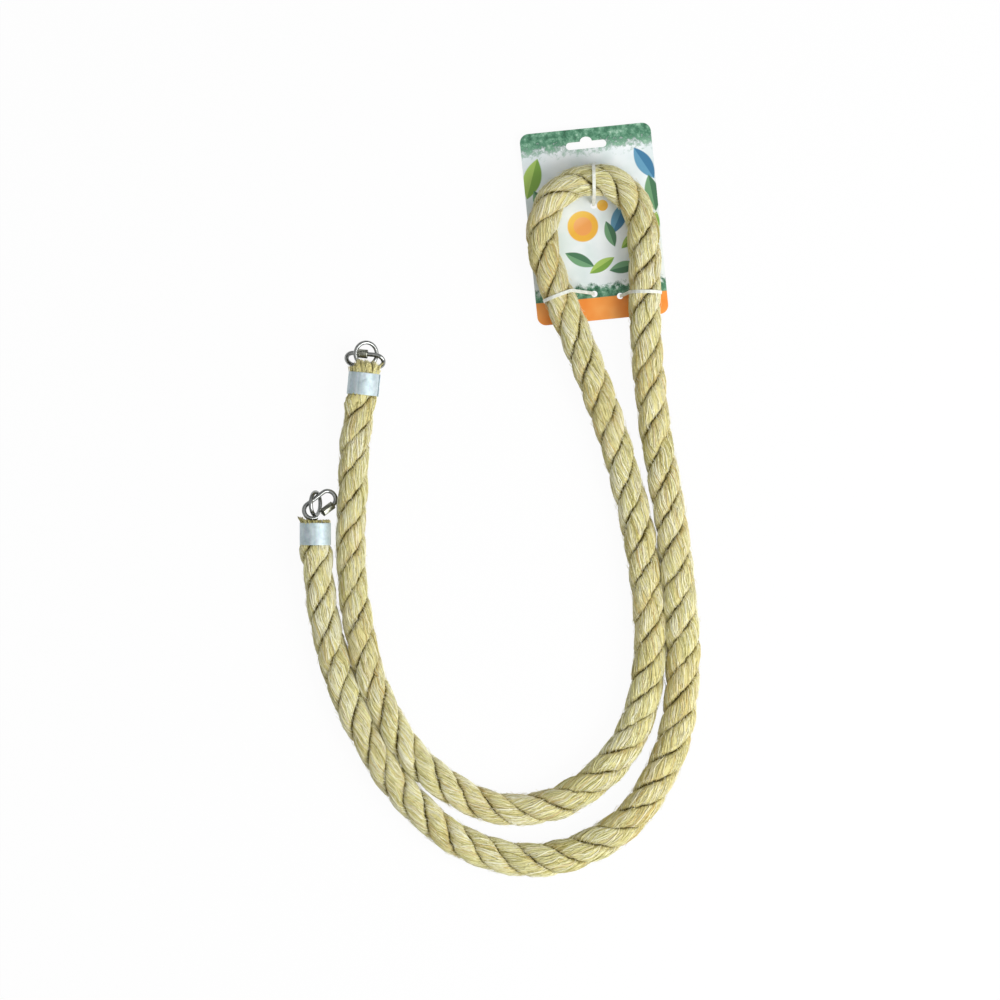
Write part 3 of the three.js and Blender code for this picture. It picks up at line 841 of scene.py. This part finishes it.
ferrule("a", 120, [
    (137, 0.0090, 4, 0.0200, 0.00024),
    (120, 0.0024, 6, 0.0008, 0.00050),
    (113, 0.0048, 6, 0.0007, 0.00045),
    (124, 0.0064, 5, 0.0007, 0.00035),
    (152, 0.0110, 12, 0.0060, 0.00020),
])
ferrule("b", 250, [
    (254, 0.0090, 5, 0.0040, 0.00022),
    (232, 0.0060, 8, 0.0030, 0.00025),
    (276, 0.0120, 8, 0.0040, 0.00025),
])


# Screw eyes: nickel-plated steel wire of 3.2 mm, closed to a ring on a pointed shank that is
# screwed into the middle of the rope and held there by the ferrule.
EYE_WIRE = 0.0032
EYE_RADIUS = 0.009
EYE_REACH = 0.015
EYE_STEPS = 56
NECK_RADIUS = 0.62 * EYE_WIRE
NECK_SINK = 0.0003
NECK_STEPS = ((0.0008, 0.95), (0.0008, 0.94), (0.001, 0.95))
SHANK_POINT = 0.006
POINT_SHARE = 0.06
WIRE_SIDES = 18
WIRE_SMOOTH_UNDER = math.radians(40)
MERGE = 0.00001


def plated(name, dark, light, shine):
    """Plated steel: tone and polish vary with a little wear, over a fine ripple."""
    metal, shader, add, link = new_material(name)
    shader.inputs["Metallic"].default_value = 1
    spot = add("ShaderNodeTexCoord")
    cloud = add("ShaderNodeTexNoise", Scale=420.0, Detail=4.0, Roughness=0.65)
    link(spot.outputs["Object"], cloud.inputs["Vector"])
    tone = ramp(add, link, cloud.outputs["Fac"], (0.3, dark), (0.7, light))
    link(tone, shader.inputs["Base Color"])
    polish = add("ShaderNodeMapRange", To_Min=shine, To_Max=shine + 0.16)
    link(cloud.outputs["Fac"], polish.inputs["Value"])
    link(polish.outputs["Result"], shader.inputs["Roughness"])
    ripple = add("ShaderNodeTexNoise", Scale=1500.0, Detail=2.0)
    link(spot.outputs["Object"], ripple.inputs["Vector"])
    bump = add("ShaderNodeBump", Strength=0.12, Distance=0.0001)
    link(ripple.outputs["Fac"], bump.inputs["Height"])
    link(bump.outputs["Normal"], shader.inputs["Normal"])
    return metal


nickel = plated("bright_nickel", srgb(126, 129, 128), srgb(174, 176, 173), 0.12)


def extrude(along):
    """Draw the selected ring of a wire out along X."""
    bpy.ops.mesh.extrude_region_move(TRANSFORM_OT_translate={"value": (along, 0, 0)})


def narrow(share, centre):
    """Draw the selected ring of a wire in towards a place."""
    bpy.ops.transform.resize(value=(share, share, share), center_override=centre)


def close_up():
    """Merge, cap and smooth a wire that has been drawn out in edit mode."""
    bpy.ops.mesh.select_all(action="SELECT")
    bpy.ops.mesh.remove_doubles(threshold=MERGE)
    bpy.ops.mesh.fill_holes(sides=0)
    bpy.ops.mesh.normals_make_consistent(inside=False)
    bpy.ops.object.mode_set(mode="OBJECT")
    bpy.ops.object.shade_smooth_by_angle(angle=WIRE_SMOOTH_UNDER)


def screw_eye(tag, roll):
    """A ring spun from a round of wire, and its shank drawn out of a thick neck to a point."""
    bpy.ops.mesh.primitive_circle_add(
        vertices=WIRE_SIDES, radius=EYE_WIRE / 2, location=(EYE_REACH + EYE_RADIUS, 0, 0),
        rotation=(math.pi / 2, 0, 0),
    )
    eye = bpy.context.object
    eye.name = f"screw_eye_{tag}_wire"
    bpy.ops.object.transform_apply()
    bpy.ops.object.mode_set(mode="EDIT")
    bpy.ops.mesh.spin(
        steps=EYE_STEPS, angle=2 * math.pi, center=(EYE_REACH, 0, 0), axis=(0, 0, 1)
    )
    bpy.ops.mesh.select_all(action="DESELECT")
    neck = EYE_REACH - EYE_RADIUS
    bpy.ops.mesh.primitive_circle_add(
        vertices=WIRE_SIDES, radius=NECK_RADIUS, location=(neck - NECK_SINK, 0, 0),
        rotation=(0, math.pi / 2, 0),
    )
    for step, share in NECK_STEPS:
        extrude(-step)
        narrow(share, (0, 0, 0))
    extrude(-(SHANK_DEPTH - SHANK_POINT))
    extrude(-SHANK_POINT)
    narrow(POINT_SHARE, (-SHANK_DEPTH, 0, 0))
    close_up()
    eye.data.transform(END_FRAME[tag] @ Matrix.Rotation(math.radians(roll), 4, "X"))
    eye.data.materials.append(nickel)
    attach(eye, "rope_on_card")
    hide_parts(f"screw_eye_{tag}")


screw_eye("a", 25)
screw_eye("b", 69)


# Quick links: 3.5 mm plated wire bent to a long oval with an open mouth. A six-sided sleeve nut
# of 11 mm runs on the threaded bar and bridges the mouth when it is screwed shut.
LINK_WIRE = 0.0035
LINK_PITCH = 0.0125
LINK_STRAIGHT = 0.017
LINK_STUB = 0.0011
LINK_MOUTH = 0.003
LINK_BEND_STEPS = 20
LINK_HALF = LINK_PITCH / 2
LINK_SIDE = LINK_STRAIGHT / 2
NUT_LENGTH = 0.011
NUT_SIDES = 6
NUT_FLATS = 0.0062
NUT_CHAMFER = 0.0005
NUT_EDGE = 0.00012
NUT_PLAY = 0.0003
BORE_SIDES = 20
nut_steel = plated("sleeve_nut_steel", srgb(112, 113, 102), srgb(164, 166, 153), 0.2)


def turned(x, y, z):
    """A turn about X, then Y, then Z, in degrees."""
    x, y, z = (math.radians(d) for d in (x, y, z))
    return Matrix.Rotation(z, 4, "Z") @ Matrix.Rotation(y, 4, "Y") @ Matrix.Rotation(x, 4, "X")


def bend(middle):
    """Take the selected ring of a wire half round a place on X, to the link's other side."""
    bpy.ops.mesh.spin(
        steps=LINK_BEND_STEPS, angle=-math.pi, center=(middle, 0, 0), axis=(0, 0, 1)
    )


def quick_link(tag, place):
    """The oval, drawn out from one edge of its mouth round to the other."""
    bpy.ops.mesh.primitive_circle_add(
        vertices=WIRE_SIDES, radius=LINK_WIRE / 2, location=(LINK_MOUTH, LINK_HALF, 0),
        rotation=(0, math.pi / 2, 0),
    )
    oval = bpy.context.object
    oval.name = f"quick_link_{tag}_wire"
    bpy.ops.object.transform_apply()
    bpy.ops.object.mode_set(mode="EDIT")
    extrude(-LINK_MOUTH - LINK_SIDE)
    bend(-LINK_SIDE)
    extrude(LINK_STRAIGHT)
    bend(LINK_SIDE)
    extrude(-LINK_STUB)
    close_up()
    oval.data.transform(place)
    oval.data.materials.append(nickel)
    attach(oval, f"link_{tag}")
    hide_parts(f"quick_link_{tag}")


def sleeve_nut(tag, place):
    """A hexagon with its ends chamfered, bored through to run on the wire."""
    bpy.ops.mesh.primitive_cylinder_add(
        vertices=NUT_SIDES, radius=NUT_FLATS / 2 / math.cos(math.pi / NUT_SIDES), depth=NUT_LENGTH,
    )
    nut = bpy.context.object
    nut.name = f"sleeve_nut_{tag}_hexagon"
    bpy.ops.object.mode_set(mode="EDIT")
    bpy.ops.mesh.select_mode(type="FACE")
    bpy.ops.mesh.select_all(action="DESELECT")
    bpy.ops.object.mode_set(mode="OBJECT")
    for face in nut.data.polygons:
        face.select = abs(face.normal.z) > 0.9
    bpy.ops.object.mode_set(mode="EDIT")
    bpy.ops.mesh.bevel(offset=NUT_CHAMFER, segments=2, affect="EDGES")
    bpy.ops.object.mode_set(mode="OBJECT")
    bpy.ops.mesh.primitive_cylinder_add(
        vertices=BORE_SIDES, radius=LINK_WIRE / 2 + NUT_PLAY, depth=2 * NUT_LENGTH,
    )
    drill = bpy.context.object
    nut.select_set(True)
    bpy.context.view_layer.objects.active = nut
    bore = nut.modifiers.new("bore", "BOOLEAN")
    bore.operation = "DIFFERENCE"
    bore.object = drill
    bpy.ops.object.modifier_apply(modifier="bore")
    bpy.data.objects.remove(drill)
    round_edges(nut, NUT_EDGE, 45)
    bpy.ops.object.modifier_apply(modifier="edge")
    bpy.ops.object.shade_smooth_by_angle(angle=SMOOTH_UNDER)
    closed = Matrix.Translation((LINK_SIDE - NUT_LENGTH / 2, LINK_HALF, 0))
    nut.data.transform(place @ closed @ turned(0, 90, 0) @ turned(0, 0, 30))
    nut.data.materials.append(nut_steel)
    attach(nut, f"nut_{tag}")
    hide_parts(f"sleeve_nut_{tag}")


for tag, at, turn in (
    ("a", (0.01035, 0.0006, -0.00505), (137, 7, 90)),
    ("b", (0.0142, -0.0035, 0.0016), (180, 24, -52.3)),
):
    place = END_FRAME[tag] @ Matrix.Translation(at) @ turned(*turn)
    quick_link(tag, place)
    sleeve_nut(tag, place)


# Hang card: coated board of 0.6 mm, cut with rounded corners, a hang slot and tie holes. The print
# is a plain one: foliage along the top, an orange band below, and leaves and discs between them.
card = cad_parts["hang_card"]
CARD_MIDDLE = (0.0745, 0.2174, 0)
CARD_TURN = math.radians(5.7)
MILLIMETRE = (0.001, 0.001, 0.001)
print_coat, shader, add, link = new_material("printed_card")
shader.inputs["Roughness"].default_value = 0.38
shader.inputs["Specular IOR Level"].default_value = 0.4
spot = add("ShaderNodeTexCoord")
sheet_mm = add("ShaderNodeMapping", vector_type="TEXTURE")
sheet_mm.inputs["Location"].default_value = CARD_MIDDLE
sheet_mm.inputs["Rotation"].default_value = (0, 0, CARD_TURN)
sheet_mm.inputs["Scale"].default_value = MILLIMETRE
link(spot.outputs["Object"], sheet_mm.inputs["Vector"])
split = add("ShaderNodeSeparateXYZ")
link(sheet_mm.outputs["Vector"], split.inputs["Vector"])
dapple = add("ShaderNodeTexNoise", Scale=0.22, Detail=5.0, Roughness=0.7)
link(sheet_mm.outputs["Vector"], dapple.inputs["Vector"])
drift = add("ShaderNodeTexNoise", Scale=0.05, Detail=2.0)
link(sheet_mm.outputs["Vector"], drift.inputs["Vector"])


def worked_out(operation, first, second):
    """A math node of the material in hand, over two values, each a socket or a number."""
    node = add("ShaderNodeMath", operation=operation)
    for place, value in enumerate((first, second)):
        plug(link, value, node.inputs[place])
    return node.outputs[0]


def edge_at(height, rise, soft):
    """1 above a ragged line across the card, at a height in mm and with a rise of its leaves."""
    ragged = worked_out("MULTIPLY", worked_out("SUBTRACT", dapple.outputs["Fac"], 0.5), rise)
    over = worked_out("ADD", worked_out("SUBTRACT", split.outputs["Y"], height), ragged)
    node = add("ShaderNodeMapRange", From_Min=-soft, From_Max=soft)
    link(over, node.inputs["Value"])
    return node.outputs["Result"]


def motif(x, y, turn, long, wide, leaf=True):
    """A leaf or a disc of the print: its mask, and a value from one side of its rib to the other."""
    place = add("ShaderNodeMapping", vector_type="TEXTURE")
    place.inputs["Location"].default_value = (x, y, 0)
    place.inputs["Rotation"].default_value = (0, 0, math.radians(turn))
    place.inputs["Scale"].default_value = (long / 2, wide / 2, 1)
    link(sheet_mm.outputs["Vector"], place.inputs["Vector"])
    part = add("ShaderNodeSeparateXYZ")
    link(place.outputs["Vector"], part.inputs["Vector"])
    lengthwise = worked_out("MULTIPLY", part.outputs["X"], part.outputs["X"])
    if leaf:
        sideways = worked_out("ABSOLUTE", part.outputs["Y"], 0)
    else:
        sideways = worked_out("MULTIPLY", part.outputs["Y"], part.outputs["Y"])
    node = add("ShaderNodeMapRange", From_Min=0.88, From_Max=1.0, To_Min=1.0, To_Max=0.0)
    link(worked_out("ADD", lengthwise, sideways), node.inputs["Value"])
    return node.outputs["Result"], part.outputs["Y"]


ground = ramp(
    add, link, drift.outputs["Fac"],
    (0.3, srgb(220, 232, 232)),
    (0.55, srgb(234, 241, 243)),
    (0.75, srgb(244, 249, 250)),
)
canopy = ramp(
    add, link, dapple.outputs["Fac"],
    (0.3, srgb(36, 84, 58)),
    (0.46, srgb(74, 130, 100)),
    (0.58, srgb(116, 166, 136)),
    (0.72, srgb(182, 212, 192)),
)
printed = mix(add, link, edge_at(height=60.0, rise=36.0, soft=4.0), ground, canopy)

# Two shades of each ink. Leaves are (middle, turn, length, width, ink) and discs (middle, width,
# ink), in millimetres from the middle of the card and in degrees.
INKS = {
    "green": (srgb(70, 118, 84), srgb(112, 160, 118)),
    "lime": (srgb(126, 168, 66), srgb(168, 200, 98)),
    "blue": (srgb(62, 122, 160), srgb(98, 156, 188)),
    "sun": (srgb(236, 178, 60), srgb(246, 206, 98)),
    "peach": (srgb(236, 160, 84), srgb(242, 182, 120)),
}
LEAVES = (
    (-45, 40, 70, 34, 15, "lime"),
    (-40, 19, 112, 26, 11, "green"),
    (-47, -8, 80, 22, 10, "blue"),
    (44, 44, 118, 30, 13, "blue"),
    (48, 20, 96, 30, 12, "green"),
    (46, -6, 70, 24, 11, "lime"),
    (-4, 30, 12, 24, 9, "green"),
    (13, 26, -24, 20, 8, "lime"),
    (20, 3, 62, 28, 12, "blue"),
    (12, -9, 104, 22, 9, "green"),
    (27, -15, 40, 20, 8, "lime"),
    (-14, -27, 150, 26, 10, "green"),
    (3, -33, 28, 24, 9, "lime"),
    (20, -36, 8, 24, 10, "green"),
)
DISCS = ((-9, -1, 25, "sun"), (-9, -1, 15, "peach"), (8, 14, 9, "sun"))
DISC_TURN = 30
for x, y, turn, long, wide, ink in LEAVES:
    mask, rib = motif(x, y, turn, long, wide)
    dark, light = INKS[ink]
    blade = ramp(add, link, rib, (0.0, dark), (0.06, light))
    printed = mix(add, link, mask, printed, blade)
for x, y, wide, ink in DISCS:
    mask, rib = motif(x, y, DISC_TURN, wide, wide, leaf=False)
    dark, light = INKS[ink]
    printed = mix(add, link, mask, printed, ramp(add, link, rib, (0.0, dark), (1.0, light)))
hedge = mix(add, link, edge_at(height=-49.0, rise=22.0, soft=2.0), canopy, printed)
band = ramp(
    add, link, drift.outputs["Fac"],
    (0.3, srgb(242, 138, 40)),
    (0.7, srgb(250, 166, 80)),
)
foot = add("ShaderNodeMapRange", From_Min=-58.2, From_Max=-57.6)
link(split.outputs["Y"], foot.inputs["Value"])
front = mix(add, link, foot.outputs["Result"], band, hedge)
faces = add("ShaderNodeNewGeometry")
tilt = add("ShaderNodeSeparateXYZ")
link(faces.outputs["Normal"], tilt.inputs["Vector"])
upper = ramp(add, link, tilt.outputs["Z"], (0.5, BLACK), (0.6, WHITE))
pulp = add("ShaderNodeTexNoise", Scale=1.4, Detail=4.0, Roughness=0.7)
link(sheet_mm.outputs["Vector"], pulp.inputs["Vector"])
back = ramp(add, link, pulp.outputs["Fac"], (0.3, srgb(196, 190, 178)), (0.7, srgb(214, 209, 199)))
link(mix(add, link, upper, back, front), shader.inputs["Base Color"])
tooth = add("ShaderNodeBump", Strength=0.06, Distance=0.0001)
link(pulp.outputs["Fac"], tooth.inputs["Height"])
link(tooth.outputs["Normal"], shader.inputs["Normal"])
card.data.materials.clear()
card.data.materials.append(print_coat)


# Ties: strips of milky plastic, 2.6 mm wide, over the rope and through two holes of the card, with
# their ends twisted together behind it. Their edges are rounded and they let some light through.
TIE_EDGE = 0.00022
milky, shader, add, link = new_material("milky_tie")
shader.inputs["Roughness"].default_value = 0.34
shader.inputs["Subsurface Weight"].default_value = 0.35
shader.inputs["Subsurface Radius"].default_value = (0.002, 0.002, 0.002)
spot = add("ShaderNodeTexCoord")
haze = add("ShaderNodeTexNoise", Scale=260.0, Detail=3.0)
link(spot.outputs["Object"], haze.inputs["Vector"])
milk = ramp(add, link, haze.outputs["Fac"], (0.3, srgb(216, 219, 208)), (0.7, srgb(240, 242, 234)))
link(milk, shader.inputs["Base Color"])
rub = add("ShaderNodeBump", Strength=0.15, Distance=0.0001)
link(haze.outputs["Fac"], rub.inputs["Height"])
link(rub.outputs["Normal"], shader.inputs["Normal"])
for name in ("tie_top", "tie_left", "tie_right"):
    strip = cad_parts[name]
    strip.data.materials.clear()
    strip.data.materials.append(milky)
    weld = strip.modifiers.new("weld", "WELD")
    weld.merge_threshold = MERGE
    round_edges(strip, TIE_EDGE, 50)


# Table top, sky, lamp and camera: a white sheet under the perch, a sky that is darker low down, a
# broad soft lamp from the lower right, and a camera straight above that takes in 785 mm.
TABLE_SIZE = 8
TABLE_DROP = 0.0003
TABLE_GLOW = 0.95
bpy.ops.mesh.primitive_plane_add(size=TABLE_SIZE, location=(0, 0, -TABLE_DROP))
table = bpy.context.object
table.name = "table_top"
white, shader, add, link = new_material("white_sheet")
shader.inputs["Base Color"].default_value = srgb(235, 235, 235)
shader.inputs["Roughness"].default_value = 0.9
shader.inputs["Specular IOR Level"].default_value = 0
glow = add("ShaderNodeEmission", Strength=1.0)
rays = add("ShaderNodeLightPath")
seen = rays.outputs["Is Camera Ray"]
for kind in ("Is Glossy Ray", "Is Transmission Ray"):
    seen = worked_out("MAXIMUM", seen, rays.outputs[kind])
both = add("ShaderNodeMixShader")
link(worked_out("MULTIPLY", seen, TABLE_GLOW), both.inputs["Fac"])
link(shader.outputs[0], both.inputs[1])
link(glow.outputs[0], both.inputs[2])
link(both.outputs[0], white.node_tree.nodes["Material Output"].inputs["Surface"])
table.data.materials.append(white)

sky = bpy.data.worlds.new("sky")
sky.use_nodes = True
nodes = sky.node_tree.nodes
link = sky.node_tree.links.new
way = nodes.new("ShaderNodeTexCoord")
part = nodes.new("ShaderNodeSeparateXYZ")
link(way.outputs["Generated"], part.inputs["Vector"])
dome = ramp(
    nodes.new, link, part.outputs["Z"],
    (0.1, (0.15, 0.15, 0.15, 1)),
    (0.45, (0.39, 0.39, 0.39, 1)),
    (0.95, (0.79, 0.79, 0.79, 1)),
)
rays = nodes.new("ShaderNodeLightPath")
clear = nodes.new("ShaderNodeMix")
clear.data_type = "RGBA"
link(rays.outputs["Is Camera Ray"], clear.inputs[0])
link(dome, clear.inputs[6])
clear.inputs[7].default_value = WHITE
link(clear.outputs[2], nodes["Background"].inputs["Color"])
bpy.context.scene.world = sky

LAMP_AT = (1.3, -0.6, 1.15)
LAMP_SIZE = 1.3
LAMP_POWER = 33
bpy.ops.object.light_add(type="AREA", location=LAMP_AT)
lamp = bpy.context.object
lamp.name = "soft_lamp"
lamp.data.size = LAMP_SIZE
lamp.data.energy = LAMP_POWER
lamp.rotation_euler = (-lamp.location).to_track_quat("-Z", "Y").to_euler()

FIELD = 0.785
AWAY = 2.4
FILM = 36
AIM = (0.0004, 0, 0.012)
lens = bpy.data.cameras.new("camera")
lens.sensor_width = FILM
lens.lens = FILM * AWAY / FIELD
camera = bpy.data.objects.new("camera", lens)
camera.location = (AIM[0], AIM[1], AIM[2] + AWAY)
bpy.context.collection.objects.link(camera)
bpy.context.scene.camera = camera
bpy.context.scene.view_settings.view_transform = "Standard"
